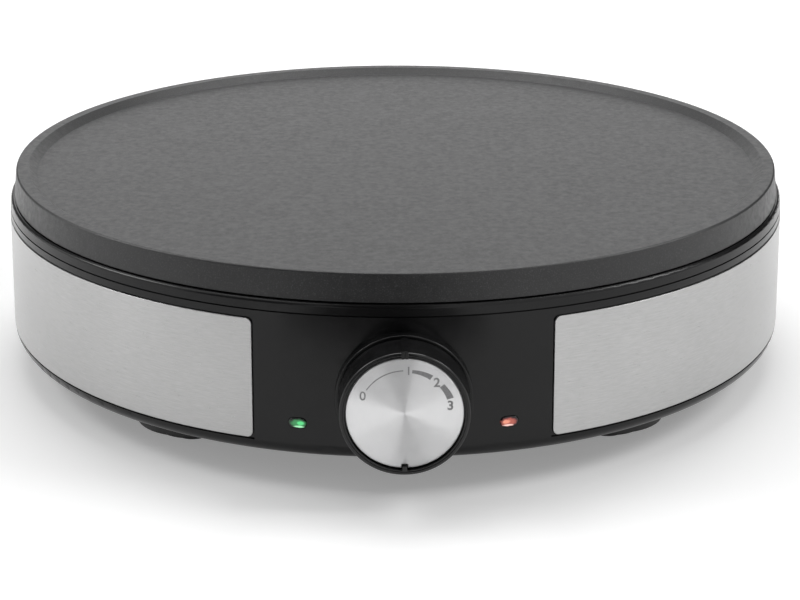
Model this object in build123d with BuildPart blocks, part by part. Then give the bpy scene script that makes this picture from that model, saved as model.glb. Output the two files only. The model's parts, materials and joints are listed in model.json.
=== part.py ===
from build123d import *

import os
from math import cos, degrees, radians, sin

# Electric crepe maker: a cast cooking plate on a round moulded housing with two steel side panels,
# a thermostat knob at the front and a cord inlet at the back.
# Frame: millimetres, +Z up, origin on the table under the plate's axis, front of the object at -Y.

# ---------------------------------------------------------------- overall
overall_height = 82.5          # table to the top of the plate's rim
foot_height = 12.5             # table to the lowest edge of the housing
overlap = 0.5                  # how far a feature runs into the solid that carries it
cut_margin = 1.0               # how far a cut runs past the face it opens
front = -90                    # azimuth of the knob, in degrees from +X
rear = 90                      # azimuth of the cord inlet

# ---------------------------------------------------------------- cooking plate
cooking_radius = 150.0         # flat surface that the batter is spread on
rim_height = 2.8               # rim above the cooking surface
rim_slope_width = 3.6
rim_flat_width = 4.9
rim_edge_radius = 0.9
plate_thickness = 5.0
skirt_depth = 10.5             # rim top to the skirt's lower edge
skirt_flare = 1.2              # how far the skirt leans out over its depth
skirt_thickness = 3.2
plate_boss_radius = 5.0
plate_boss_inset = 8.1         # centre of the plate's screws in from the foot of the rim
plate_boss_height = 9.7

# ---------------------------------------------------------------- heating element
element_radius = 3.25
inner_loop_radius = 72.0
outer_loop_radius = 112.0
hairpin_azimuth = 102          # where the hairpin leaves the two loops
loop_gap = 24                  # left open between the ends of each loop, in degrees
groove_clearance = 0.1
bead_width = 11.0              # raised bead under the plate that holds the element
bead_height = 8.0
element_bend_radius = 9.0
element_leg_length = 6.0
terminal_radius = 1.6
terminal_length = 9.0

# ---------------------------------------------------------------- straps and reflector
strap_azimuths = (45, 135, 225, 315)
strap_overhang = 7.0           # strap beyond the middle of each loop
strap_width = 12.0
strap_thickness = 1.5
strap_boss_radius = 4.5
strap_screw_radius = 2.0
reflector_gap = 1.0            # reflector's rim to the plate's bosses
reflector_thickness = 0.6
reflector_rim_height = 5.0
reflector_rim_spread = 2.5     # how far the rim leans out
reflector_bead_radius = 30.0   # stiffening step pressed into the middle
reflector_bead_depth = 2.5
leg_opening_clearance = 4.0

# ---------------------------------------------------------------- housing
plate_gap = 0.45               # shadow gap between the skirt and the housing's lip
lip_overhang = 1.5             # how far the lip stands out beyond the skirt
lip_height = 3.8
lip_edge_radius = 1.4
groove_width = 0.6
groove_depth = 0.7
band_height = 3.25             # groove to the upper edge of the steel panels
bottom_band_height = 6.0       # lower edge of the steel panels to the housing's edge
wall_stand_out = 2.1           # wall at the panels' upper edge, out beyond the skirt
wall_flare = 1.2               # how far the wall leans out over the panels' height
wall_thickness = 2.6
bottom_round = 5.4
bottom_flange_width = 7.2
bottom_flange_thickness = 2.6
upstand_gap = 1.7              # skirt's inside to the ring that keeps spills out
upstand_thickness = 2.2
upstand_height = 1.6
ledge_thickness = 2.4
post_azimuths = (45, 135, 225, 315)
post_radius = 6.5
post_height = 20.0
web_thickness = 3.0
base_boss_azimuths = (20, 80, 140, 200, 260, 320)
base_boss_inset = 6.5          # centre of the cover's screws in from the base's opening
base_boss_radius = 4.0
base_boss_height = 14.0
base_boss_roof = 1.5           # solid end of the boss above its hole

# ---------------------------------------------------------------- steel panels
black_section_half_angle = 19.5
panel_thickness = 0.8
panel_corner_radius = 2.3
panel_gap = 0.7                # dark line between panel and housing
panel_proud = 0.1
panel_seat_gap = 0.05          # adhesive film behind the panel
tab_offsets = (-52, 0, 52)     # from the middle of each panel, in degrees
tab_arc = 3.0
tab_gap = 0.3
tab_reach = 4.4
tab_flap_height = 5.0

# ---------------------------------------------------------------- base cover and feet
cover_clearance = 0.4
cover_recess = 0.6             # the cover sits this far up inside the housing
cover_thickness = 2.4
foot_angle = 53.2              # each foot's azimuth from the left or right of the base
foot_edge_margin = 0.8         # foot moulding to the cover's edge
foot_boss_radius = 21.2
foot_boss_chamfer_width = 7.3
foot_boss_chamfer_height = 3.0
foot_boss_floor = 3.6          # table to the underside of the moulded boss
foot_boss_wall = 2.2
foot_pad_radius = 7.5
foot_pad_seat_depth = 0.8
foot_edge_chamfer = 0.8
foot_stem_radius = 2.6
foot_stem_clearance = 0.1
foot_barb_radius = 3.8
foot_barb_height = 2.5
foot_barb_taper = 0.8
foot_boss_plinth = 1.0         # upright edge below the boss's chamfer
vent_count = 24
vent_ring = 88.0
vent_length = 30.0
vent_width = 3.0
cover_rib_radius = 50.0
cover_rib_thickness = 2.0
cover_rib_height = 4.0

# ---------------------------------------------------------------- knob
knob_below_middle = 3.5        # knob's axis below the middle of the steel panels
knob_length = 12.3             # knob's back edge to its face
knob_back_radius = 23.5
knob_front_radius = 23.0
knob_wall = 1.9
knob_edge_radius = 0.9
knob_collar_radius = 24.6      # raised ring on the housing, round the knob's seat
knob_collar_width = 4.2
knob_collar_height = 3.0       # ring's face in front of the seat inside it
knob_collar_edge = 0.5
seat_stand = 0.2               # seat in front of the wall where it is widest
seat_depth = 6.0
knob_back_gap = 0.5            # knob's back edge to the ring's face
knob_web_thickness = 2.0
disc_radius = 20.7
disc_thickness = 0.9
disc_sink = 1.2                # disc face below the rim's face
disc_film = 0.05               # adhesive behind the disc
disc_edge_chamfer = 0.25
disc_clearance = 0.15
disc_shadow_gap = 0.4          # dark line between the disc and the rim
disc_key_width = 1.7
disc_key_depth = 1.2
rib_width = 2.4
rib_stand = 0.5
rib_slit_width = 0.5
rib_overlap = 0.15             # how far the rib's end stands out past the rim
rib_nose_gap = 0.1             # rib's end to the disc's edge
hub_rib_depth = 5.0
hub_rib_thickness = 1.4
rim_line_radius = 21.8
rim_line_width = 0.3
rim_line_depth = 0.3
hub_radius = 5.6
index_width = 1.2
index_length = 2.6
index_stand = 0.4
index_overlap = 0.3            # index line's lower end inside the collar

# ---------------------------------------------------------------- thermostat
shaft_radius = 3.0
shaft_flat = 1.4               # how deep the D flat is cut
shaft_engagement = 9.0
shaft_end_gap = 0.5            # shaft's end to the knob's web
shaft_flat_runout = 0.5        # flat behind the knob's hub
tail_clearance = 0.4
tail_end_gap = 0.5
knob_bore_clearance = 0.05
shaft_run_clearance = 0.05
spring_thickness = 0.4
spring_width = 3.0
spring_pocket = 0.7
spring_pocket_margin = 0.2     # pocket beyond each edge of the spring
spring_end_gap = 0.5
bore_end_gap = 0.3
bushing_radius = 5.0
bushing_hole_clearance = 0.4
faceplate_width = 40.0
faceplate_height = 26.0
faceplate_thickness = 1.5
faceplate_corner = 3.0
bushing_setback = 0.5          # bushing's end behind the seat's face
thermostat_width = 34.0
thermostat_height = 30.0
thermostat_depth = 26.0
thermostat_edge = 1.5
shaft_tail = 6.0
screw_spacing = 28.0
faceplate_screw_radius = 2.0
faceplate_screw_head_radius = 3.8
faceplate_screw_head_height = 2.2
faceplate_screw_tip = 1.5      # tip beyond the faceplate
tab_terminal_width = 6.3
tab_terminal_thickness = 0.8
tab_terminal_length = 8.0
tab_terminal_x = 9.0
tab_terminal_rise = 5.0
capillary_radius = 0.8
bulb_radius = 2.0
bulb_length = 60.0
capillary_bend = 4.0
capillary_entry_x = 12.0
capillary_run = 8.0            # bulb's end to the capillary's first bend
capillary_rise = 5.0           # capillary's low run above the thermostat
capillary_hole_radius = 2.8
clip_clearance = 0.1
clip_thickness = 0.8
clip_width = 8.0
clip_flange = 4.5
clip_offset = 10.0             # each clip from the bulb's middle

# ---------------------------------------------------------------- lamps
lamp_below_knob = 11.6
lamp_angle = 13.5              # each lamp's azimuth from the knob
lens_width = 6.8
lens_height = 4.0
lens_stand = 0.5
lens_edge = 0.5
lens_clearance = 0.15
lens_flange = 1.3
lens_flange_thickness = 1.0
lens_flange_gap = 0.2          # flange to the curved inside of the wall
lens_skin = 0.8                # wall in front of the bulb
lens_pocket_radius = 1.5
bulb_glass_radius = 1.35
bulb_glass_length = 11.0
bulb_pocket_gap = 0.6
bulb_tip_radius = 1.1

# ---------------------------------------------------------------- cord inlet and terminals
gland_height = 30.0
gland_bore_radius = 3.6
gland_body_radius = 6.0
gland_flange_radius = 8.5
gland_flange_thickness = 2.5
gland_snap_radius = 6.9
gland_snap_thickness = 1.5
gland_clearance = 0.15
gland_pad_radius = 11.0
gland_pad_stand = 0.5          # pad's face behind the wall
gland_pad_depth = 1.0          # pad inside the wall
gland_snap_gap = 0.1
gland_flange_edge = 1.0
block_x = 0.0
block_y = 118.0
block_length = 34.0
block_width = 16.0
block_height = 13.0
block_pitch = 11.0
block_hole_radius = 2.2
block_hole_rise = 5.0
block_screw_radius = 1.5
block_screw_sink = 0.5         # screw's top below the block's top
block_corner = 1.5

# ---------------------------------------------------------------- fasteners
plate_screw_radius = 2.0
screw_head_radius = 3.7
screw_head_height = 2.4
screw_socket_radius = 1.5
screw_socket_depth = 1.2
tip_clearance = 1.0            # screw tip to the end of its hole
thread_clearance = 0.05
hole_clearance = 0.3
spacer_radius = 6.0
spacer_thickness = 2.5
base_screw_radius = 1.6
base_screw_length = 13.0
fuse_radius = 2.0
fuse_length = 12.0
fuse_azimuth = 60
earth_x = 30.0
earth_y = 95.0
earth_tab_width = 8.0
earth_tab_drop = 10.0
wire_radius = 1.1
wire_bend = 6.0
block_lead = 20.0              # straight run of each wire out of the terminal block
side_run_x = 62.0              # wires along the left and right of the base
side_run_rear_y = 62.0
side_run_front_y = 72.0
live_run_rise = 2.0            # above the terminal block's holes
wire_drop = 14.0               # wires below the element's pins
switched_turn_y = 40.0
tab_lead = 21.5                # straight run of each wire in front of the thermostat's tabs
neutral_rise_x = 24.0
neutral_rise_y = 88.0
fuse_loop_x = 66.0
fuse_loop_y = 104.0
fuse_loop_drop = 6.0
lamp_wire_radius = 0.8
lamp_wire_bend = 4.0
lamp_wire_lead = 8.0

# ---------------------------------------------------------------- levels and radii that follow
rim_top_z = overall_height
surface_z = rim_top_z - rim_height
plate_under_z = surface_z - plate_thickness
skirt_bottom_z = rim_top_z - skirt_depth
rim_inner_radius = cooking_radius + rim_slope_width
rim_outer_radius = rim_inner_radius + rim_flat_width
skirt_radius = rim_outer_radius + skirt_flare
bead_bottom_z = plate_under_z - bead_height
element_z = bead_bottom_z + element_radius
strap_bottom_z = bead_bottom_z - strap_thickness
reflector_bottom_z = strap_bottom_z - reflector_thickness
capillary_x = bulb_length / 2 + capillary_run

housing_top_z = skirt_bottom_z - plate_gap
lip_bottom_z = housing_top_z - lip_height
groove_bottom_z = lip_bottom_z - groove_width
panel_top_z = groove_bottom_z - band_height
panel_bottom_z = foot_height + bottom_band_height
panel_height = panel_top_z - panel_bottom_z
lip_radius = skirt_radius + lip_overhang
wall_radius_top = skirt_radius + wall_stand_out
upstand_radius = skirt_radius - skirt_thickness - upstand_gap
plate_boss_ring = rim_inner_radius - plate_boss_inset
reflector_radius = plate_boss_ring - plate_boss_radius - reflector_gap - reflector_rim_spread
between_loops = (inner_loop_radius + outer_loop_radius) / 2
strap_length = outer_loop_radius - inner_loop_radius + 2 * strap_overhang
plate_boss_bottom_z = plate_under_z - plate_boss_height
post_top_z = plate_boss_bottom_z - spacer_thickness
post_bottom_z = post_top_z - post_height

cover_bottom_z = foot_height + cover_recess
cover_top_z = cover_bottom_z + cover_thickness

knob_z = (panel_top_z + panel_bottom_z) / 2 - knob_below_middle
lamp_z = knob_z - lamp_below_knob


def wall_radius(height):
    """Outside radius of the housing's wall, which leans out a little towards the table."""
    return wall_radius_top + wall_flare * (panel_top_z - height) / panel_height


def radial_plane(azimuth):
    """Upright plane through the plate's axis: local x is the radius, local y is the height."""
    direction = (cos(radians(azimuth)), sin(radians(azimuth)), 0)
    return Plane(origin=(0, 0, 0), x_dir=direction, z_dir=(direction[1], -direction[0], 0))


def facing_plane(azimuth, radius, height):
    """Upright plane that faces outwards at a distance from the plate's axis."""
    out = (cos(radians(azimuth)), sin(radians(azimuth)), 0)
    origin = (radius * out[0], radius * out[1], height)
    return Plane(origin=origin, x_dir=(-out[1], out[0], 0), z_dir=out)


def ring_point(azimuth, radius, height=0):
    """Point at an azimuth and a distance from the plate's axis."""
    return (radius * cos(radians(azimuth)), radius * sin(radians(azimuth)), height)


wall_bottom_radius = wall_radius(foot_height)
opening_radius = wall_bottom_radius - bottom_flange_width
cover_radius = opening_radius - cover_clearance
base_boss_ring = opening_radius - base_boss_inset
foot_ring = cover_radius - foot_edge_margin - foot_boss_radius
gland_pad_y = wall_radius(gland_height) + gland_pad_stand
gland_pad_back_y = wall_radius(gland_height) - wall_thickness - gland_pad_depth

wall_widest_radius = wall_radius(foot_height + bottom_round)
seat_y = wall_widest_radius + seat_stand
seat_back_y = seat_y - seat_depth
knob_collar_y = seat_y + knob_collar_height
knob_back_y = knob_collar_y + knob_back_gap
knob_front_y = knob_back_y + knob_length
knob_seat_y = knob_front_y - disc_sink - disc_thickness - disc_film
knob_web_back_y = knob_seat_y - knob_web_thickness
shaft_end_y = knob_web_back_y - shaft_end_gap
hub_back_y = shaft_end_y - shaft_engagement
faceplate_back_y = seat_back_y - faceplate_thickness
thermostat_back_y = faceplate_back_y - thermostat_depth

knob_axis = Axis((0, 0, knob_z), (0, -1, 0))
knob_section = Plane(origin=(0, 0, knob_z), x_dir=(1, 0, 0), z_dir=(0, 0, -1))
hairpin_axis = Axis(ring_point(hairpin_azimuth, between_loops, element_z), (0, 0, -1))
terminal_azimuth = hairpin_azimuth - loop_gap
foot_azimuths = {
    "front_left": 180 + foot_angle,
    "front_right": -foot_angle,
    "rear_left": 180 - foot_angle,
    "rear_right": foot_angle,
}
panel_arc = 180 - 2 * black_section_half_angle
panel_starts = {"right": front + black_section_half_angle, "left": rear + black_section_half_angle}
lamp_azimuths = {"green": front - lamp_angle, "red": front + lamp_angle}

os.makedirs("parts", exist_ok=True)


def run_along_element(draw_section, mode=Mode.ADD):
    """Carry a section round both loops of the element and the hairpin that joins them."""
    for loop_radius in (inner_loop_radius, outer_loop_radius):
        with BuildSketch(radial_plane(hairpin_azimuth)) as loop_section:
            draw_section(loop_radius)
        revolve(loop_section.sketch, axis=Axis.Z, revolution_arc=360 - loop_gap, mode=mode)
    with BuildSketch(radial_plane(hairpin_azimuth)) as hairpin_section:
        draw_section(outer_loop_radius)
    revolve(hairpin_section.sketch, axis=hairpin_axis, revolution_arc=180, mode=mode)


def bead_section(radius):
    """Raised bead under the plate."""
    with Locations((radius, (plate_under_z + overlap + bead_bottom_z) / 2)):
        Rectangle(bead_width, bead_height + overlap)


def groove_section(radius):
    """Groove in the bead, round at its root and open below."""
    groove_radius = element_radius + groove_clearance
    with Locations((radius, element_z)):
        Circle(groove_radius)
    with Locations((radius, element_z - element_radius)):
        Rectangle(2 * groove_radius, 2 * element_radius)


def tube_section(radius):
    """Round section of the element's sheath."""
    with Locations((radius, element_z)):
        Circle(element_radius)


# ================================================================ cooking plate
with BuildPart() as cooking_plate:
    with BuildSketch(Plane.XZ) as plate_section:
        with BuildLine():
            Polyline(
                (0, surface_z),
                (cooking_radius, surface_z),
                (rim_inner_radius, rim_top_z),
                (rim_outer_radius, rim_top_z),
                (skirt_radius, skirt_bottom_z),
                (skirt_radius - skirt_thickness, skirt_bottom_z),
                (rim_outer_radius - skirt_thickness, plate_under_z),
                (0, plate_under_z),
                close=True,
            )
        make_face()
        rim_corner = plate_section.vertices().group_by(Axis.Y)[-1].sort_by(Axis.X)[-1]
        fillet(rim_corner, radius=rim_edge_radius)
    revolve(axis=Axis.Z)
    run_along_element(bead_section)
    run_along_element(groove_section, Mode.SUBTRACT)
    # solid bosses for the strap screws, level with the bead
    with BuildSketch(Plane.XY.offset(bead_bottom_z)):
        for azimuth in strap_azimuths:
            with Locations(ring_point(azimuth, between_loops)):
                Circle(strap_boss_radius)
    extrude(amount=bead_height + overlap)
    # bosses for the screws that hold the plate down
    with BuildSketch(Plane.XY.offset(plate_boss_bottom_z)):
        for azimuth in post_azimuths:
            with Locations(ring_point(azimuth, plate_boss_ring)):
                Circle(plate_boss_radius)
    extrude(amount=plate_boss_height + overlap)
    # tapped holes
    with BuildSketch(Plane.XY.offset(bead_bottom_z)):
        for azimuth in strap_azimuths:
            with Locations(ring_point(azimuth, between_loops)):
                Circle(strap_screw_radius + thread_clearance)
    extrude(amount=bead_height, mode=Mode.SUBTRACT)
    with BuildSketch(Plane.XY.offset(plate_boss_bottom_z)):
        for azimuth in post_azimuths:
            with Locations(ring_point(azimuth, plate_boss_ring)):
                Circle(plate_screw_radius + thread_clearance)
    extrude(amount=plate_boss_height, mode=Mode.SUBTRACT)
cooking_plate.part.label = "cooking_plate"
export_step(cooking_plate.part, "parts/cooking_plate.step")

# ================================================================ heating element
with BuildPart() as heating_element:
    run_along_element(tube_section)
    # the two ends turn down through the reflector
    for loop_radius in (inner_loop_radius, outer_loop_radius):
        with BuildSketch(radial_plane(terminal_azimuth)) as end_section:
            tube_section(loop_radius)
        end_point = Vector(ring_point(terminal_azimuth, loop_radius, element_z))
        outwards = Vector(ring_point(terminal_azimuth, 1))
        onwards = Vector(ring_point(terminal_azimuth + 90, 1))
        bend_axis = Axis(end_point - Vector(0, 0, element_bend_radius), outwards)
        revolve(end_section.sketch, axis=-bend_axis, revolution_arc=90)
        leg_top = end_point + onwards * element_bend_radius - Vector(0, 0, element_bend_radius)
        with BuildSketch(Plane(origin=leg_top, z_dir=(0, 0, -1))) as leg_section:
            Circle(element_radius)
        extrude(leg_section.sketch, amount=element_leg_length)
heating_element.part.label = "heating_element"
export_step(heating_element.part, "parts/heating_element.step")

leg_ends = []
for loop_radius in (inner_loop_radius, outer_loop_radius):
    end_point = Vector(ring_point(terminal_azimuth, loop_radius, element_z))
    onwards = Vector(ring_point(terminal_azimuth + 90, 1))
    drop = Vector(0, 0, element_bend_radius + element_leg_length)
    leg_ends.append(end_point + onwards * element_bend_radius - drop)

with BuildPart() as element_terminals:
    for leg_end in leg_ends:
        with BuildSketch(Plane(origin=leg_end, z_dir=(0, 0, -1))) as pin_section:
            Circle(terminal_radius)
        extrude(pin_section.sketch, amount=terminal_length)
element_terminals.part.label = "element_terminals"
export_step(element_terminals.part, "parts/element_terminals.step")

# ================================================================ straps and their screws
with BuildPart() as element_straps:
    for azimuth in strap_azimuths:
        with BuildSketch(Plane(origin=ring_point(azimuth, between_loops, strap_bottom_z),
                               x_dir=ring_point(azimuth, 1), z_dir=(0, 0, 1))) as strap_outline:
            SlotOverall(strap_length, strap_width)
            Circle(strap_screw_radius + hole_clearance, mode=Mode.SUBTRACT)
        extrude(strap_outline.sketch, amount=strap_thickness)
element_straps.part.label = "element_straps"
export_step(element_straps.part, "parts/element_straps.step")


def screw_from_below(point, head_bottom, length, radius, head_radius, head_height):
    """Pan-head screw that points up, with a socket in its head."""
    with BuildSketch(Plane(origin=(point[0], point[1], head_bottom))) as head_outline:
        Circle(head_radius)
    extrude(head_outline.sketch, amount=head_height)
    with BuildSketch(Plane(origin=(point[0], point[1], head_bottom + head_height))) as shank_outline:
        Circle(radius)
    extrude(shank_outline.sketch, amount=length)
    with BuildSketch(Plane(origin=(point[0], point[1], head_bottom))) as socket_outline:
        RegularPolygon(screw_socket_radius, 6)
    extrude(socket_outline.sketch, amount=screw_socket_depth, mode=Mode.SUBTRACT)


strap_screw_length = strap_thickness + reflector_thickness + bead_height - tip_clearance
with BuildPart() as strap_screws:
    for azimuth in strap_azimuths:
        screw_from_below(ring_point(azimuth, between_loops), reflector_bottom_z - screw_head_height,
                         strap_screw_length, strap_screw_radius, screw_head_radius, screw_head_height)
strap_screws.part.label = "strap_screws"
export_step(strap_screws.part, "parts/strap_screws.step")

# ================================================================ heat reflector
with BuildPart() as heat_reflector:
    with BuildSketch(Plane.XZ):
        with BuildLine():
            Polyline(
                (0, reflector_bottom_z - reflector_bead_depth),
                (reflector_bead_radius, reflector_bottom_z - reflector_bead_depth),
                (reflector_bead_radius + reflector_bead_depth, reflector_bottom_z),
                (reflector_radius, reflector_bottom_z),
                (reflector_radius + reflector_rim_spread, reflector_bottom_z + reflector_rim_height),
                (reflector_radius + reflector_rim_spread - reflector_thickness,
                 reflector_bottom_z + reflector_rim_height),
                (reflector_radius - reflector_thickness / 2, reflector_bottom_z + reflector_thickness),
                (reflector_bead_radius + reflector_bead_depth - reflector_thickness / 2,
                 reflector_bottom_z + reflector_thickness),
                (reflector_bead_radius - reflector_thickness / 2,
                 reflector_bottom_z - reflector_bead_depth + reflector_thickness),
                (0, reflector_bottom_z - reflector_bead_depth + reflector_thickness),
                close=True,
            )
        make_face()
    revolve(axis=Axis.Z)
    with BuildSketch(Plane.XY.offset(reflector_bottom_z - reflector_bead_depth)) as reflector_holes:
        with Locations((capillary_x, -between_loops)):
            Circle(capillary_hole_radius)
        for azimuth in strap_azimuths:
            with Locations(ring_point(azimuth, between_loops)):
                Circle(strap_screw_radius + hole_clearance)
        for leg_end in leg_ends:
            with Locations((leg_end.X, leg_end.Y)):
                Circle(element_radius + leg_opening_clearance / 2)
    extrude(reflector_holes.sketch, amount=2 * reflector_bead_depth, mode=Mode.SUBTRACT)
heat_reflector.part.label = "heat_reflector"
export_step(heat_reflector.part, "parts/heat_reflector.step")

# ================================================================ plate spacers and plate screws
with BuildPart() as plate_spacers:
    for azimuth in post_azimuths:
        point = ring_point(azimuth, plate_boss_ring)
        with BuildSketch(Plane(origin=(point[0], point[1], post_top_z))) as spacer_outline:
            Circle(spacer_radius)
            Circle(plate_screw_radius + hole_clearance, mode=Mode.SUBTRACT)
        extrude(spacer_outline.sketch, amount=spacer_thickness)
plate_spacers.part.label = "plate_spacers"
export_step(plate_spacers.part, "parts/plate_spacers.step")

plate_screw_length = post_height + spacer_thickness + plate_boss_height - tip_clearance
with BuildPart() as plate_screws:
    for azimuth in post_azimuths:
        screw_from_below(ring_point(azimuth, plate_boss_ring), post_bottom_z - screw_head_height,
                         plate_screw_length, plate_screw_radius, screw_head_radius, screw_head_height)
plate_screws.part.label = "plate_screws"
export_step(plate_screws.part, "parts/plate_screws.step")

# ================================================================ housing
with BuildPart() as housing:
    with BuildSketch(Plane.XZ) as wall_section:
        with BuildLine():
            Polyline(
                (opening_radius, foot_height),
                (wall_bottom_radius, foot_height),
                (wall_radius(groove_bottom_z), groove_bottom_z),
                (wall_radius(groove_bottom_z) - groove_depth, groove_bottom_z),
                (wall_radius(lip_bottom_z) - groove_depth, lip_bottom_z),
                (wall_radius(lip_bottom_z), lip_bottom_z),
                (lip_radius, housing_top_z),
                (upstand_radius, housing_top_z),
                (upstand_radius, housing_top_z + upstand_height),
                (upstand_radius - upstand_thickness, housing_top_z + upstand_height),
                (upstand_radius - upstand_thickness, housing_top_z - ledge_thickness),
                (wall_radius(housing_top_z) - wall_thickness, housing_top_z - ledge_thickness),
                (wall_bottom_radius - wall_thickness, foot_height + bottom_flange_thickness),
                (opening_radius, foot_height + bottom_flange_thickness),
                close=True,
            )
        make_face()
        bottom_corner = wall_section.vertices().group_by(Axis.Y)[0].sort_by(Axis.X)[-1]
        fillet(bottom_corner, radius=bottom_round)
        lip_corner = wall_section.vertices().group_by(Axis.Y)[-2].sort_by(Axis.X)[-1]
        fillet(lip_corner, radius=lip_edge_radius)
    revolve(axis=Axis.Z)

    # flat seat for the thermostat, with the raised ring that the knob turns in front of
    with BuildSketch(knob_section) as collar_section:
        with BuildLine():
            Polyline(
                (0, seat_back_y),
                (knob_collar_radius, seat_back_y),
                (knob_collar_radius, knob_collar_y),
                (knob_collar_radius - knob_collar_width, knob_collar_y),
                (knob_collar_radius - knob_collar_width, seat_y),
                (0, seat_y),
                close=True,
            )
        make_face()
        collar_corner = collar_section.vertices().group_by(Axis.Y)[-1].sort_by(Axis.X)[-1]
        fillet(collar_corner, radius=knob_collar_edge)
    revolve(collar_section.sketch, axis=knob_axis)
    # flat seat for the cord inlet
    with BuildSketch(facing_plane(rear, gland_pad_back_y, gland_height)):
        Circle(gland_pad_radius)
    extrude(amount=gland_pad_y - gland_pad_back_y)

    # posts that carry the plate, each on a web from the wall
    post_web_length = wall_radius(post_top_z) - wall_thickness + overlap - plate_boss_ring
    for azimuth in post_azimuths:
        post_plane = Plane(origin=ring_point(azimuth, plate_boss_ring, post_bottom_z),
                           x_dir=ring_point(azimuth, 1), z_dir=(0, 0, 1))
        with BuildSketch(post_plane) as post_outline:
            Circle(post_radius)
            with Locations((post_web_length / 2, 0)):
                Rectangle(post_web_length, web_thickness)
        extrude(post_outline.sketch, amount=post_height)
        with BuildSketch(post_plane) as post_hole:
            Circle(plate_screw_radius + hole_clearance)
        extrude(post_hole.sketch, amount=post_height, mode=Mode.SUBTRACT)

    # bosses for the base cover's screws
    boss_web_length = wall_radius(cover_top_z) - wall_thickness + overlap - base_boss_ring
    for azimuth in base_boss_azimuths:
        boss_plane = Plane(origin=ring_point(azimuth, base_boss_ring, cover_top_z),
                           x_dir=ring_point(azimuth, 1), z_dir=(0, 0, 1))
        with BuildSketch(boss_plane) as boss_outline:
            Circle(base_boss_radius)
            with Locations((boss_web_length / 2, 0)):
                Rectangle(boss_web_length, web_thickness)
        extrude(boss_outline.sketch, amount=base_boss_height)
        with BuildSketch(boss_plane) as boss_hole:
            Circle(base_screw_radius + thread_clearance)
        extrude(boss_hole.sketch, amount=base_boss_height - base_boss_roof, mode=Mode.SUBTRACT)

    # recesses that the steel panels lie in, and the slots for their tabs
    recess_depth = panel_thickness - panel_proud + panel_seat_gap
    gap_arc = degrees(panel_gap / wall_radius_top)
    slot_margin = degrees(tab_gap / wall_radius_top)
    for start in panel_starts.values():
        with BuildSketch(radial_plane(start - gap_arc)) as recess_section:
            with BuildLine():
                Polyline(
                    (wall_radius(panel_bottom_z) - recess_depth, panel_bottom_z - panel_gap),
                    (wall_radius(panel_bottom_z) + cut_margin, panel_bottom_z - panel_gap),
                    (wall_radius(panel_top_z) + cut_margin, panel_top_z + panel_gap),
                    (wall_radius(panel_top_z) - recess_depth, panel_top_z + panel_gap),
                    close=True,
                )
            make_face()
        revolve(recess_section.sketch, axis=Axis.Z, revolution_arc=panel_arc + 2 * gap_arc,
                mode=Mode.SUBTRACT)
        for offset_angle in tab_offsets:
            slot_start = start + panel_arc / 2 + offset_angle - tab_arc / 2 - slot_margin
            for tab_middle in (panel_top_z - panel_thickness / 2, panel_bottom_z + panel_thickness / 2):
                with BuildSketch(radial_plane(slot_start)) as slot_section:
                    with Locations((wall_radius(tab_middle) - wall_thickness, tab_middle)):
                        Rectangle(2 * wall_thickness, panel_thickness + 2 * tab_gap)
                revolve(slot_section.sketch, axis=Axis.Z, revolution_arc=tab_arc + 2 * slot_margin,
                        mode=Mode.SUBTRACT)

    # lamp holes
    for azimuth in lamp_azimuths.values():
        with BuildSketch(facing_plane(azimuth, wall_radius(lamp_z) + cut_margin, lamp_z)) as lamp_hole:
            SlotOverall(lens_width + 2 * lens_clearance, lens_height + 2 * lens_clearance)
        extrude(lamp_hole.sketch, amount=-(wall_thickness + 2 * cut_margin), mode=Mode.SUBTRACT)

    # holes in the knob's seat: bushing in the middle, two screws beside it
    with BuildSketch(facing_plane(front, seat_back_y, knob_z)) as seat_holes:
        Circle(bushing_radius + bushing_hole_clearance)
        with GridLocations(screw_spacing, 0, 2, 1):
            Circle(faceplate_screw_radius + hole_clearance)
    extrude(seat_holes.sketch, amount=seat_depth, mode=Mode.SUBTRACT)

    # hole for the cord gland
    with BuildSketch(facing_plane(rear, gland_pad_back_y, gland_height)) as gland_hole:
        Circle(gland_body_radius + gland_clearance)
    extrude(gland_hole.sketch, amount=gland_pad_y - gland_pad_back_y, mode=Mode.SUBTRACT)

    # fixed index above the knob
    with BuildSketch(facing_plane(front, wall_radius(knob_z) + index_stand, knob_z)) as index_outline:
        with Locations((0, knob_collar_radius + index_length / 2 - index_overlap)):
            Rectangle(index_width, index_length)
    extrude(index_outline.sketch, amount=-(index_stand + 2 * overlap))
housing.part.label = "housing"
export_step(housing.part, "parts/housing.step")

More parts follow.
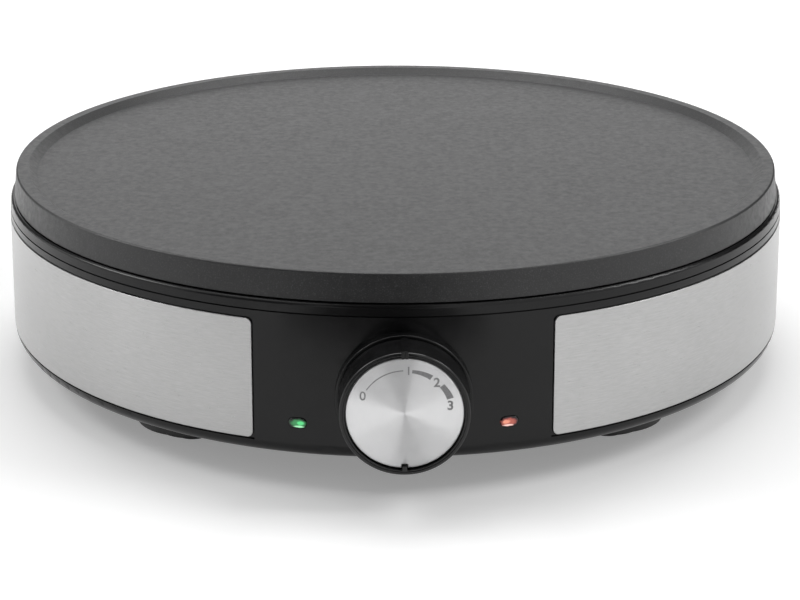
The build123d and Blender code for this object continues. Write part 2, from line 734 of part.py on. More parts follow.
# ================================================================ steel panels
for side, start in panel_starts.items():
    with BuildPart() as steel_panel:
        with BuildSketch(radial_plane(start)) as panel_section:
            with BuildLine():
                Polyline(
                    (wall_radius(panel_bottom_z) + panel_proud, panel_bottom_z),
                    (wall_radius(panel_top_z) + panel_proud, panel_top_z),
                    (wall_radius(panel_top_z) + panel_proud - panel_thickness, panel_top_z),
                    (wall_radius(panel_bottom_z) + panel_proud - panel_thickness, panel_bottom_z),
                    close=True,
                )
            make_face()
        revolve(panel_section.sketch, axis=Axis.Z, revolution_arc=panel_arc)
        corner_edges = steel_panel.edges().filter_by(GeomType.LINE).group_by(SortBy.LENGTH)[0]
        fillet(corner_edges, radius=panel_corner_radius)
        # tabs through the wall, folded over inside
        for offset_angle in tab_offsets:
            tab_start = start + panel_arc / 2 + offset_angle - tab_arc / 2
            for edge_z, fold in ((panel_top_z, -1), (panel_bottom_z, 1)):
                tab_outer = wall_radius(edge_z) + panel_proud - panel_thickness / 2
                tab_inner = wall_radius(edge_z) - tab_reach
                with BuildSketch(radial_plane(tab_start)) as tab_section:
                    with BuildLine():
                        Polyline(
                            (tab_outer, edge_z),
                            (tab_inner, edge_z),
                            (tab_inner, edge_z + fold * tab_flap_height),
                            (tab_inner + panel_thickness, edge_z + fold * tab_flap_height),
                            (tab_inner + panel_thickness, edge_z + fold * panel_thickness),
                            (tab_outer, edge_z + fold * panel_thickness),
                            close=True,
                        )
                    make_face()
                revolve(tab_section.sketch, axis=Axis.Z, revolution_arc=tab_arc)
    steel_panel.part.label = f"steel_panel_{side}"
    export_step(steel_panel.part, f"parts/steel_panel_{side}.step")

# ================================================================ base cover
foot_floor_top_z = foot_boss_floor + foot_boss_wall
foot_chamfer_top_z = foot_boss_floor + foot_boss_plinth + foot_boss_chamfer_height
foot_inner_radius = foot_boss_radius - foot_boss_wall
foot_bottom_radius = foot_boss_radius - foot_boss_chamfer_width
with BuildPart() as base_cover:
    with BuildSketch(Plane.XY.offset(cover_bottom_z)):
        Circle(cover_radius)
    extrude(amount=cover_thickness)
    # stiffening ring
    with BuildSketch(Plane.XY.offset(cover_top_z)):
        Circle(cover_rib_radius)
        Circle(cover_rib_radius - cover_rib_thickness, mode=Mode.SUBTRACT)
    extrude(amount=cover_rib_height)
    # hollow foot mouldings
    for azimuth in foot_azimuths.values():
        x, y, _ = ring_point(azimuth, foot_ring)
        with BuildSketch(Plane(origin=(x, y, 0), x_dir=(1, 0, 0), z_dir=(0, -1, 0))) as foot_outer:
            with BuildLine():
                Polyline(
                    (0, foot_boss_floor),
                    (foot_bottom_radius, foot_boss_floor),
                    (foot_bottom_radius, foot_boss_floor + foot_boss_plinth),
                    (foot_boss_radius, foot_chamfer_top_z),
                    (foot_boss_radius, cover_bottom_z + overlap),
                    (0, cover_bottom_z + overlap),
                    close=True,
                )
            make_face()
        revolve(foot_outer.sketch, axis=Axis((x, y, 0), (0, 0, 1)))
    for azimuth in foot_azimuths.values():
        x, y, _ = ring_point(azimuth, foot_ring)
        with BuildSketch(Plane(origin=(x, y, 0), x_dir=(1, 0, 0), z_dir=(0, -1, 0))) as foot_inner:
            with BuildLine():
                Polyline(
                    (0, foot_floor_top_z),
                    (foot_bottom_radius - foot_boss_wall / 2, foot_floor_top_z),
                    (foot_inner_radius, foot_chamfer_top_z + foot_boss_wall / 2),
                    (foot_inner_radius, cover_top_z + cut_margin),
                    (0, cover_top_z + cut_margin),
                    close=True,
                )
            make_face()
        revolve(foot_inner.sketch, axis=Axis((x, y, 0), (0, 0, 1)), mode=Mode.SUBTRACT)
        with BuildSketch(Plane(origin=(x, y, foot_boss_floor))) as pad_seat:
            Circle(foot_pad_radius + foot_stem_clearance)
        extrude(pad_seat.sketch, amount=foot_pad_seat_depth, mode=Mode.SUBTRACT)
        with BuildSketch(Plane(origin=(x, y, foot_boss_floor))) as stem_hole:
            Circle(foot_stem_radius + foot_stem_clearance)
        extrude(stem_hole.sketch, amount=foot_boss_wall + cut_margin, mode=Mode.SUBTRACT)
    # ventilation slots
    with BuildSketch(Plane.XY.offset(cover_bottom_z)) as vent_slots:
        with PolarLocations(vent_ring, vent_count, start_angle=180 / vent_count):
            SlotOverall(vent_length, vent_width)
    extrude(vent_slots.sketch, amount=cover_thickness, mode=Mode.SUBTRACT)
    # screw holes
    for azimuth in base_boss_azimuths:
        with BuildSketch(Plane(origin=ring_point(azimuth, base_boss_ring, cover_bottom_z))) as cover_hole:
            Circle(base_screw_radius + hole_clearance)
        extrude(cover_hole.sketch, amount=cover_thickness, mode=Mode.SUBTRACT)
base_cover.part.label = "base_cover"
export_step(base_cover.part, "parts/base_cover.step")

# ================================================================ feet
for place, azimuth in foot_azimuths.items():
    x, y, _ = ring_point(azimuth, foot_ring)
    with BuildPart() as foot:
        with BuildSketch(Plane(origin=(x, y, 0), x_dir=(1, 0, 0), z_dir=(0, -1, 0))) as foot_section:
            with BuildLine():
                Polyline(
                    (0, 0),
                    (foot_pad_radius - foot_edge_chamfer, 0),
                    (foot_pad_radius, foot_edge_chamfer),
                    (foot_pad_radius, foot_boss_floor + foot_pad_seat_depth),
                    (foot_stem_radius, foot_boss_floor + foot_pad_seat_depth),
                    (foot_stem_radius, foot_floor_top_z),
                    (foot_barb_radius, foot_floor_top_z),
                    (foot_stem_radius - foot_barb_taper, foot_floor_top_z + foot_barb_height),
                    (0, foot_floor_top_z + foot_barb_height),
                    close=True,
                )
            make_face()
        revolve(foot_section.sketch, axis=Axis((x, y, 0), (0, 0, 1)))
    foot.part.label = f"foot_{place}"
    export_step(foot.part, f"parts/foot_{place}.step")

with BuildPart() as base_screws:
    for azimuth in base_boss_azimuths:
        screw_from_below(ring_point(azimuth, base_boss_ring), cover_bottom_z - screw_head_height,
                         base_screw_length, base_screw_radius, screw_head_radius, screw_head_height)
base_screws.part.label = "base_screws"
export_step(base_screws.part, "parts/base_screws.step")

# ================================================================ knob
disc_hole_radius = disc_radius + disc_shadow_gap
rib_front_y = knob_front_y + rib_overlap
with BuildPart() as knob_body:
    with BuildSketch(knob_section) as shell_section:
        with BuildLine():
            Polyline(
                (0, knob_seat_y),
                (disc_hole_radius, knob_seat_y),
                (disc_hole_radius, knob_front_y),
                (knob_front_radius, knob_front_y),
                (knob_back_radius, knob_back_y),
                (knob_back_radius - knob_wall, knob_back_y),
                (knob_front_radius - knob_wall, knob_web_back_y),
                (0, knob_web_back_y),
                close=True,
            )
        make_face()
        rim_corner = shell_section.vertices().group_by(Axis.Y)[-1].sort_by(Axis.X)[-1]
        fillet(rim_corner, radius=knob_edge_radius)
    revolve(axis=knob_axis)
    # hub and the four ribs that stiffen it
    with BuildSketch(facing_plane(front, hub_back_y, knob_z)):
        Circle(hub_radius)
    extrude(amount=knob_web_back_y - hub_back_y)
    hub_rib_reach = knob_front_radius - knob_wall / 2
    with BuildSketch(facing_plane(front, knob_web_back_y - hub_rib_depth, knob_z)):
        with PolarLocations(0, 4, start_angle=45):
            with Locations((hub_rib_reach / 2, 0)):
                Rectangle(hub_rib_reach, hub_rib_thickness)
    extrude(amount=hub_rib_depth)
    # bore with its D flat, and the pocket for the leaf spring beside the flat
    bore_radius = shaft_radius + knob_bore_clearance
    bore_flat = shaft_radius - shaft_flat + knob_bore_clearance
    with BuildSketch(facing_plane(front, hub_back_y, knob_z)) as bore_outline:
        Circle(bore_radius)
        with Locations((0, bore_flat + bore_radius)):
            Rectangle(4 * bore_radius, 2 * bore_radius, mode=Mode.SUBTRACT)
        with Locations((0, bore_flat + spring_pocket / 2 - spring_pocket_margin)):
            Rectangle(spring_width + 2 * spring_pocket_margin, spring_pocket)
    extrude(bore_outline.sketch, amount=shaft_engagement + bore_end_gap, mode=Mode.SUBTRACT)
    # fine line turned into the front rim
    with BuildSketch(facing_plane(front, knob_front_y - rim_line_depth, knob_z)) as line_outline:
        Circle(rim_line_radius)
        Circle(rim_line_radius - rim_line_width, mode=Mode.SUBTRACT)
    extrude(line_outline.sketch, amount=rim_line_depth, mode=Mode.SUBTRACT)
    # pointer rib along the top, which runs over the rim to the disc
    rib_plane = Plane(origin=(rib_width / 2, 0, knob_z), x_dir=(0, -1, 0), z_dir=(-1, 0, 0))
    with BuildSketch(rib_plane) as rib_side:
        with BuildLine():
            Polyline(
                (knob_back_y, knob_back_radius - knob_wall / 2),
                (knob_back_y, knob_back_radius + rib_stand),
                (rib_front_y, knob_front_radius + rib_stand),
                (rib_front_y, disc_radius + rib_nose_gap),
                (knob_seat_y, disc_radius + rib_nose_gap),
                close=True,
            )
        make_face()
    extrude(rib_side.sketch, amount=rib_width)
    # key at the bottom that holds the disc from turning
    key_reach = disc_hole_radius + overlap - (disc_radius - disc_key_depth)
    with BuildSketch(facing_plane(front, knob_seat_y, knob_z)) as key_outline:
        with Locations((0, -(disc_hole_radius + overlap - key_reach / 2))):
            Rectangle(disc_key_width, key_reach)
    extrude(key_outline.sketch, amount=knob_front_y - knob_seat_y)
    # slit in the rib's front end
    with BuildSketch(facing_plane(front, rib_front_y - rib_slit_width, knob_z)) as slit_outline:
        with Locations((0, (knob_front_radius + disc_radius) / 2)):
            Rectangle(rib_slit_width, knob_back_radius - disc_radius + 2 * disc_key_depth)
    extrude(slit_outline.sketch, amount=rib_slit_width, mode=Mode.SUBTRACT)
knob_body.part.label = "knob_body"
export_step(knob_body.part, "parts/knob_body.step")

with BuildPart() as knob_disc:
    with BuildSketch(facing_plane(front, knob_seat_y + disc_film, knob_z)):
        Circle(disc_radius)
        with Locations((0, -disc_radius)):
            Rectangle(disc_key_width + 2 * disc_clearance, 2 * (disc_key_depth + disc_clearance),
                      mode=Mode.SUBTRACT)
    extrude(amount=disc_thickness)
    disc_rim = knob_disc.faces().sort_by(Axis.Y)[0].edges()
    chamfer(disc_rim, length=disc_edge_chamfer)
knob_disc.part.label = "knob_disc"
export_step(knob_disc.part, "parts/knob_disc.step")

with BuildPart() as knob_spring:
    with BuildSketch(facing_plane(front, hub_back_y + spring_end_gap, knob_z)):
        with Locations((0, bore_flat + spring_pocket / 2 - spring_pocket_margin / 2)):
            Rectangle(spring_width, spring_thickness)
    extrude(amount=shaft_engagement - 2 * spring_end_gap)
knob_spring.part.label = "knob_spring"
export_step(knob_spring.part, "parts/knob_spring.step")

# ================================================================ thermostat
with BuildPart() as thermostat_shaft:
    with BuildSketch(facing_plane(front, faceplate_back_y - shaft_tail, knob_z)):
        Circle(shaft_radius)
    extrude(amount=shaft_end_y - faceplate_back_y + shaft_tail)
    # D flat over the length that the knob grips
    with BuildSketch(facing_plane(front, hub_back_y - shaft_flat_runout, knob_z)) as flat_outline:
        with Locations((0, 2 * shaft_radius - shaft_flat)):
            Rectangle(4 * shaft_radius, 2 * shaft_radius)
    extrude(flat_outline.sketch, amount=shaft_engagement + shaft_flat_runout, mode=Mode.SUBTRACT)
thermostat_shaft.part.label = "thermostat_shaft"
export_step(thermostat_shaft.part, "parts/thermostat_shaft.step")

with BuildPart() as thermostat_faceplate:
    with BuildSketch(facing_plane(front, faceplate_back_y, knob_z)):
        RectangleRounded(faceplate_width, faceplate_height, faceplate_corner)
    extrude(amount=faceplate_thickness)
    with BuildSketch(facing_plane(front, seat_back_y, knob_z)) as bushing_outline:
        Circle(bushing_radius)
    extrude(bushing_outline.sketch, amount=seat_depth - bushing_setback)
    with BuildSketch(facing_plane(front, faceplate_back_y, knob_z)) as faceplate_holes:
        Circle(shaft_radius + shaft_run_clearance)
        with GridLocations(screw_spacing, 0, 2, 1):
            Circle(faceplate_screw_radius + thread_clearance)
    extrude(faceplate_holes.sketch, amount=seat_y - faceplate_back_y, mode=Mode.SUBTRACT)
thermostat_faceplate.part.label = "thermostat_faceplate"
export_step(thermostat_faceplate.part, "parts/thermostat_faceplate.step")

screw_tip_y = faceplate_back_y - faceplate_screw_tip
with BuildPart() as thermostat_screws:
    for x in (-screw_spacing / 2, screw_spacing / 2):
        with BuildSketch(facing_plane(front, screw_tip_y, knob_z)) as shank_outline:
            with Locations((x, 0)):
                Circle(faceplate_screw_radius)
        extrude(shank_outline.sketch, amount=seat_y - screw_tip_y)
        with BuildSketch(facing_plane(front, seat_y, knob_z)) as head_outline:
            with Locations((x, 0)):
                Circle(faceplate_screw_head_radius)
        extrude(head_outline.sketch, amount=faceplate_screw_head_height)
thermostat_screws.part.label = "thermostat_screws"
export_step(thermostat_screws.part, "parts/thermostat_screws.step")

with BuildPart() as thermostat_body:
    with BuildSketch(facing_plane(front, thermostat_back_y, knob_z)):
        RectangleRounded(thermostat_width, thermostat_height, thermostat_edge)
    extrude(amount=thermostat_depth)
    with BuildSketch(facing_plane(front, faceplate_back_y, knob_z)) as tail_hole:
        Circle(shaft_radius + tail_clearance)
    extrude(tail_hole.sketch, amount=-(shaft_tail + tail_end_gap), mode=Mode.SUBTRACT)
    with BuildSketch(facing_plane(front, faceplate_back_y, knob_z)) as screw_tips:
        with GridLocations(screw_spacing, 0, 2, 1):
            Circle(faceplate_screw_radius + hole_clearance)
    extrude(screw_tips.sketch, amount=-(faceplate_screw_tip + tip_clearance), mode=Mode.SUBTRACT)
thermostat_body.part.label = "thermostat_body"
export_step(thermostat_body.part, "parts/thermostat_body.step")

with BuildPart() as thermostat_terminals:
    with BuildSketch(facing_plane(front, thermostat_back_y - tab_terminal_length, knob_z)):
        with Locations((-tab_terminal_x, tab_terminal_rise), (tab_terminal_x, tab_terminal_rise)):
            Rectangle(tab_terminal_width, tab_terminal_thickness)
    extrude(amount=tab_terminal_length)
thermostat_terminals.part.label = "thermostat_terminals"
export_step(thermostat_terminals.part, "parts/thermostat_terminals.step")


def tube_along(points, radius, bend):
    """Round tube along straight runs joined by tangent arcs."""
    with BuildLine() as route:
        FilletPolyline(*points, radius=bend)
    with BuildSketch(Plane(origin=route.line @ 0, z_dir=route.line % 0)) as tube_outline:
        Circle(radius)
    sweep(tube_outline.sketch, path=route.line)


def saddle_clip(point, tube_radius):
    """Strip bent under a tube that lies along X, with a flange on each side against the sheet above."""
    inner = tube_radius + clip_clearance
    outer = inner + clip_thickness
    clip_plane = Plane(origin=(point[0] - clip_width / 2, point[1], point[2]),
                       x_dir=(0, 1, 0), z_dir=(1, 0, 0))
    with BuildSketch(clip_plane) as clip_section:
        Circle(outer)
        with Locations((0, inner / 2)):
            Rectangle(2 * outer, inner)
        with Locations((0, inner - clip_thickness / 2)):
            Rectangle(2 * (outer + clip_flange), clip_thickness)
        with Locations((0, inner + outer / 2)):
            Rectangle(2 * outer, outer, mode=Mode.SUBTRACT)
        Circle(inner, mode=Mode.SUBTRACT)
        with Locations((0, inner / 2)):
            Rectangle(2 * inner, inner, mode=Mode.SUBTRACT)
    extrude(clip_section.sketch, amount=clip_width)


bulb_z = plate_under_z - bulb_radius - clip_clearance
thermostat_top_z = knob_z + thermostat_height / 2
capillary_low_z = thermostat_top_z + capillary_rise
thermostat_middle_y = thermostat_back_y + thermostat_depth / 2
with BuildPart() as thermostat_bulb:
    bulb_end = Plane(origin=(-bulb_length / 2, -between_loops, bulb_z), z_dir=(1, 0, 0))
    with BuildSketch(bulb_end) as bulb_outline:
        Circle(bulb_radius)
    extrude(bulb_outline.sketch, amount=bulb_length)
    tube_along(
        [
            (bulb_length / 2, -between_loops, bulb_z),
            (capillary_x, -between_loops, bulb_z),
            (capillary_x, -between_loops, capillary_low_z),
            (capillary_entry_x, -thermostat_middle_y, capillary_low_z),
            (capillary_entry_x, -thermostat_middle_y, thermostat_top_z),
        ],
        capillary_radius,
        capillary_bend,
    )
thermostat_bulb.part.label = "thermostat_bulb"
export_step(thermostat_bulb.part, "parts/thermostat_bulb.step")

with BuildPart() as bulb_clips:
    for x in (-clip_offset, clip_offset):
        saddle_clip((x, -between_loops, bulb_z), bulb_radius)
bulb_clips.part.label = "bulb_clips"
export_step(bulb_clips.part, "parts/bulb_clips.step")

# ================================================================ lamps
lens_front = wall_radius(lamp_z) + lens_stand
lens_back = wall_radius(lamp_z) - wall_thickness - lens_flange_gap - lens_flange_thickness
bulb_front = lens_front - lens_skin - bulb_pocket_gap
bulb_back = bulb_front - bulb_glass_length
for colour, azimuth in lamp_azimuths.items():
    lamp_axis = Axis((0, 0, lamp_z), ring_point(azimuth, 1))
    with BuildPart() as lens:
        with BuildSketch(facing_plane(azimuth, lens_back, lamp_z)) as lens_outline:
            SlotOverall(lens_width, lens_height)
        extrude(lens_outline.sketch, amount=lens_front - lens_back)
        lens_face = lens.faces().sort_by(lamp_axis)[-1]
        fillet(lens_face.edges(), radius=lens_edge)
        with BuildSketch(facing_plane(azimuth, lens_back, lamp_z)) as flange_outline:
            SlotOverall(lens_width + 2 * lens_flange, lens_height + 2 * lens_flange)
        extrude(flange_outline.sketch, amount=lens_flange_thickness)
        with BuildSketch(facing_plane(azimuth, lens_back, lamp_z)) as pocket_outline:
            Circle(lens_pocket_radius)
        extrude(pocket_outline.sketch, amount=lens_front - lens_skin - lens_back, mode=Mode.SUBTRACT)
    lens.part.label = f"{colour}_lamp_lens"
    export_step(lens.part, f"parts/{colour}_lamp_lens.step")

    with BuildPart() as lamp_bulb:
        with BuildSketch(facing_plane(azimuth, bulb_back, lamp_z)) as glass_outline:
            Circle(bulb_glass_radius)
        extrude(glass_outline.sketch, amount=bulb_glass_length)
        bulb_tip = lamp_bulb.faces().sort_by(lamp_axis)[-1]
        fillet(bulb_tip.edges(), radius=bulb_tip_radius)
    lamp_bulb.part.label = f"{colour}_lamp_bulb"
    export_step(lamp_bulb.part, f"parts/{colour}_lamp_bulb.step")

# ================================================================ cord gland
gland_end_y = gland_pad_back_y - gland_snap_gap - gland_snap_thickness
gland_length = gland_pad_y + gland_flange_thickness - gland_end_y
with BuildPart() as cord_gland:
    with BuildSketch(facing_plane(rear, gland_end_y, gland_height)) as gland_outline:
        Circle(gland_body_radius)
    extrude(gland_outline.sketch, amount=gland_length)
    with BuildSketch(facing_plane(rear, gland_pad_y, gland_height)) as flange_outline:
        Circle(gland_flange_radius)
    extrude(flange_outline.sketch, amount=gland_flange_thickness)
    flange_rim = cord_gland.faces().sort_by(Axis.Y)[-1].edges()
    fillet(flange_rim, radius=gland_flange_edge)
    with BuildSketch(facing_plane(rear, gland_end_y, gland_height)) as snap_outline:
        Circle(gland_snap_radius)
    extrude(snap_outline.sketch, amount=gland_snap_thickness)
    with BuildSketch(facing_plane(rear, gland_end_y, gland_height)) as gland_bore:
        Circle(gland_bore_radius)
    extrude(gland_bore.sketch, amount=gland_length, mode=Mode.SUBTRACT)
cord_gland.part.label = "cord_gland"
export_step(cord_gland.part, "parts/cord_gland.step")

# ================================================================ terminal block
block_hole_z = cover_top_z + block_hole_rise
with BuildPart() as terminal_block:
    with BuildSketch(Plane(origin=(block_x, block_y, cover_top_z))) as block_outline:
        RectangleRounded(block_length, block_width, block_corner)
    extrude(block_outline.sketch, amount=block_height)
    with BuildSketch(Plane(origin=(block_x, block_y + block_width / 2, block_hole_z), x_dir=(-1, 0, 0),
                           z_dir=(0, 1, 0))) as wire_holes:
        with GridLocations(block_pitch, 0, 3, 1):
            Circle(block_hole_radius)
    extrude(wire_holes.sketch, amount=-block_width, mode=Mode.SUBTRACT)
    with BuildSketch(Plane(origin=(block_x, block_y, cover_top_z + block_height))) as screw_wells:
        with GridLocations(block_pitch, 0, 3, 1):
            Circle(block_screw_radius + thread_clearance)
    extrude(screw_wells.sketch, amount=-(block_height - block_hole_rise), mode=Mode.SUBTRACT)
terminal_block.part.label = "terminal_block"
export_step(terminal_block.part, "parts/terminal_block.step")

with BuildPart() as terminal_block_screws:
    with BuildSketch(Plane(origin=(block_x, block_y, cover_top_z + block_height - block_screw_sink))):
        with GridLocations(block_pitch, 0, 3, 1):
            Circle(block_screw_radius)
    extrude(amount=-(block_height - block_screw_sink - block_hole_rise - wire_radius - thread_clearance))
terminal_block_screws.part.label = "terminal_block_screws"
export_step(terminal_block_screws.part, "parts/terminal_block_screws.step")

# ================================================================ thermal fuse and earth tab
fuse_centre = ring_point(fuse_azimuth, between_loops, reflector_bottom_z - fuse_radius - clip_clearance)
with BuildPart() as thermal_fuse:
    with BuildSketch(Plane(origin=(fuse_centre[0] - fuse_length / 2, fuse_centre[1], fuse_centre[2]),
                           z_dir=(1, 0, 0))) as fuse_outline:
        Circle(fuse_radius)
    extrude(fuse_outline.sketch, amount=fuse_length)
thermal_fuse.part.label = "thermal_fuse"
export_step(thermal_fuse.part, "parts/thermal_fuse.step")

with BuildPart() as fuse_clip:
    saddle_clip(fuse_centre, fuse_radius)
fuse_clip.part.label = "fuse_clip"
export_step(fuse_clip.part, "parts/fuse_clip.step")

with BuildPart() as earth_tab:
    with BuildSketch(Plane(origin=(-earth_x, earth_y, reflector_bottom_z))) as tab_foot:
        Rectangle(earth_tab_width, earth_tab_width)
    extrude(tab_foot.sketch, amount=-tab_terminal_thickness)
    with BuildSketch(Plane(origin=(-earth_x, earth_y, reflector_bottom_z))) as tab_blade:
        Rectangle(earth_tab_width, tab_terminal_thickness)
    extrude(tab_blade.sketch, amount=-earth_tab_drop)
earth_tab.part.label = "earth_tab"
export_step(earth_tab.part, "parts/earth_tab.step")

# ================================================================ internal wiring
lead_end_y = block_y - block_lead
tab_end_y = thermostat_back_y - tab_terminal_length
tab_lead_y = tab_end_y - tab_lead
tab_z = knob_z + tab_terminal_rise
inner_pin, outer_pin = leg_ends
pin_bottom_z = inner_pin.Z - terminal_length
live_run_z = block_hole_z + live_run_rise
wire_level_z = pin_bottom_z - wire_drop
with BuildPart() as wire_live:
    tube_along(
        [
            (-block_pitch, block_y, block_hole_z),
            (-block_pitch, lead_end_y, block_hole_z),
            (-side_run_x, side_run_rear_y, live_run_z),
            (-side_run_x, -side_run_front_y, live_run_z),
            (-tab_terminal_x, -tab_lead_y, tab_z),
            (-tab_terminal_x, -tab_end_y, tab_z),
        ],
        wire_radius,
        wire_bend,
    )
wire_live.part.label = "wire_live"
export_step(wire_live.part, "parts/wire_live.step")

with BuildPart() as wire_switched:
    tube_along(
        [
            (tab_terminal_x, -tab_end_y, tab_z),
            (tab_terminal_x, -tab_lead_y, tab_z),
            (side_run_x, -side_run_front_y, wire_level_z),
            (side_run_x, switched_turn_y, wire_level_z),
            (inner_pin.X, inner_pin.Y, wire_level_z),
            (inner_pin.X, inner_pin.Y, pin_bottom_z),
        ],
        wire_radius,
        wire_bend,
    )
wire_switched.part.label = "wire_switched"
export_step(wire_switched.part, "parts/wire_switched.step")

with BuildPart() as wire_neutral:
    tube_along(
        [
            (block_pitch, block_y, block_hole_z),
            (block_pitch, lead_end_y, block_hole_z),
            (neutral_rise_x, neutral_rise_y, wire_level_z),
            (neutral_rise_x, fuse_centre[1], fuse_centre[2]),
            (fuse_centre[0] - fuse_length / 2, fuse_centre[1], fuse_centre[2]),
        ],
        wire_radius,
        wire_bend,
    )
    tube_along(
        [
            (fuse_centre[0] + fuse_length / 2, fuse_centre[1], fuse_centre[2]),
            (fuse_loop_x, fuse_centre[1], fuse_centre[2]),
            (fuse_loop_x, fuse_loop_y, pin_bottom_z - fuse_loop_drop),
            (outer_pin.X, outer_pin.Y, wire_level_z),
            (outer_pin.X, outer_pin.Y, pin_bottom_z),
        ],
        wire_radius,
        wire_bend,
    )
wire_neutral.part.label = "wire_neutral"
export_step(wire_neutral.part, "parts/wire_neutral.step")

with BuildPart() as wire_earth:
    tube_along(
        [
            (0, block_y, block_hole_z),
            (0, lead_end_y, block_hole_z),
            (-earth_x, earth_y, wire_level_z),
            (-earth_x, earth_y, reflector_bottom_z - earth_tab_drop),
        ],
        wire_radius,
        wire_bend,
    )
wire_earth.part.label = "wire_earth"
export_step(wire_earth.part, "parts/wire_earth.step")

with BuildPart() as lamp_wires:
    for side, azimuth in zip((-1, 1), lamp_azimuths.values()):
        glass_end = ring_point(azimuth, bulb_back, lamp_z)
        corner = ring_point(azimuth, bulb_back - lamp_wire_lead, lamp_z)
        tube_along([glass_end, corner, (side * thermostat_width / 2, corner[1], lamp_z)],
                   lamp_wire_radius, lamp_wire_bend)
lamp_wires.part.label = "lamp_wires"
export_step(lamp_wires.part, "parts/lamp_wires.step")
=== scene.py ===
import json
import math

import bmesh
import bpy
from mathutils import Matrix, Vector

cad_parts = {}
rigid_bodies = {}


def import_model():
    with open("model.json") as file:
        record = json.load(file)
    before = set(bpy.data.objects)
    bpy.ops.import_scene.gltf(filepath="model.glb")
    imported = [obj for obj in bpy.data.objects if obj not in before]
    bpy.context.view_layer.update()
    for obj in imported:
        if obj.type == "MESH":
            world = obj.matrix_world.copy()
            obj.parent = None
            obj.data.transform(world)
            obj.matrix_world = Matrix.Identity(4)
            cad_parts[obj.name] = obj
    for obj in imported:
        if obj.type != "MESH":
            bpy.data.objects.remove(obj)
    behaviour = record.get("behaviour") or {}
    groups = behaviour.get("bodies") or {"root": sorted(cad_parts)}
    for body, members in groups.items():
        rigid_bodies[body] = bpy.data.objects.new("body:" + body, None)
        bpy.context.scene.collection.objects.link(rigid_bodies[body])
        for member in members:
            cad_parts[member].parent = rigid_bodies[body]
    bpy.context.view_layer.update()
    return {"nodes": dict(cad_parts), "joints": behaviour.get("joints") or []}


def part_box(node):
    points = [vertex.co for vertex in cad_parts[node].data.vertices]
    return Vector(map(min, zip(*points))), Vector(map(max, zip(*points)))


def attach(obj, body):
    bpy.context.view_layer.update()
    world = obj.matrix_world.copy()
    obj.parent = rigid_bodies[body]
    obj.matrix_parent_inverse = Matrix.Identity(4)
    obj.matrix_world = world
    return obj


for thing in list(bpy.data.objects):
    bpy.data.objects.remove(thing)

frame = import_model()

MM = 0.001

# Half sizes of a lamp's lens.
LENS_HALF_WIDTH = 3.4 * MM
LENS_HALF_HEIGHT = 2.0 * MM
LENS_HALF_DEPTH = 2.4 * MM

# Rounded upper edge of the housing's lip, as the solid has it.
LIP_FLAT_RADIUS = 159.5 * MM     # the rounding lies outside this radius
LIP_EDGE_FOOT = 70.33 * MM       # height at which it starts
LIP_EDGE_CENTRE = 70.15 * MM     # height of the arc's centre
LIP_EDGE_RADIUS = 1.4 * MM

# Knob's disc and the scale printed on it.
GROOVE_LEAN = 0.55               # how far the fine grooves tip the normal inwards or outwards
INK_THICKNESS = 0.03 * MM
LETTER_SIZE = 1.36               # font size, in heights of a number
SCALE_RADIUS = 0.778             # middle of the numbers, as a share of the disc's radius

# Camera that was fitted to the photograph.
CAMERA_PLACE = Vector((-0.01469, -0.8017, 0.3070))
CAMERA_AIM = Vector((0.0, 0.0, 0.015))
CAMERA_LENS = 87.97              # in millimetres, as the sensor
CAMERA_SENSOR = 36.0
CAMERA_SHIFT = 0.0057

# Studio. The levels of light are shares of what makes a white floor white.
WORLD_LIGHT = 0.28               # even light from all round
BACKDROP_LEVEL = 1.0             # the background, where a ray sees it
FLOOR_LIFT_NEAR = (0.35, 0.25)   # metres from the object, and the floor's own light there
FLOOR_LIFT_FAR = (0.90, 0.40)
FLOOR_RADIUS = 12.0
LIT_POINT = Vector((0.0, 0.0, 0.05))
WALL_CARD_DISTANCE = 2.4


# ------------------------------------------------------------------ node graphs

class Graph:
    """Shorthands for the nodes of a material or a world."""

    def __init__(self, tree):
        self.tree = tree

    def add(self, kind, inputs, **settings):
        node = self.tree.nodes.new(kind)
        for key, value in settings.items():
            setattr(node, key, value)
        for key, value in inputs.items():
            if isinstance(value, bpy.types.NodeSocket):
                self.tree.links.new(value, node.inputs[key])
            else:
                node.inputs[key].default_value = value
        return node

    def math(self, operation, first, second=0.0):
        return self.add("ShaderNodeMath", {0: first, 1: second}, operation=operation).outputs[0]

    def backdrop_rays(self):
        """1 for the rays that see the backdrop: camera, glossy and transmission rays."""
        path = self.add("ShaderNodeLightPath", {})
        total = path.outputs["Is Camera Ray"]
        for ray in ("Is Glossy Ray", "Is Transmission Ray"):
            total = self.math("MAXIMUM", total, path.outputs[ray])
        return total


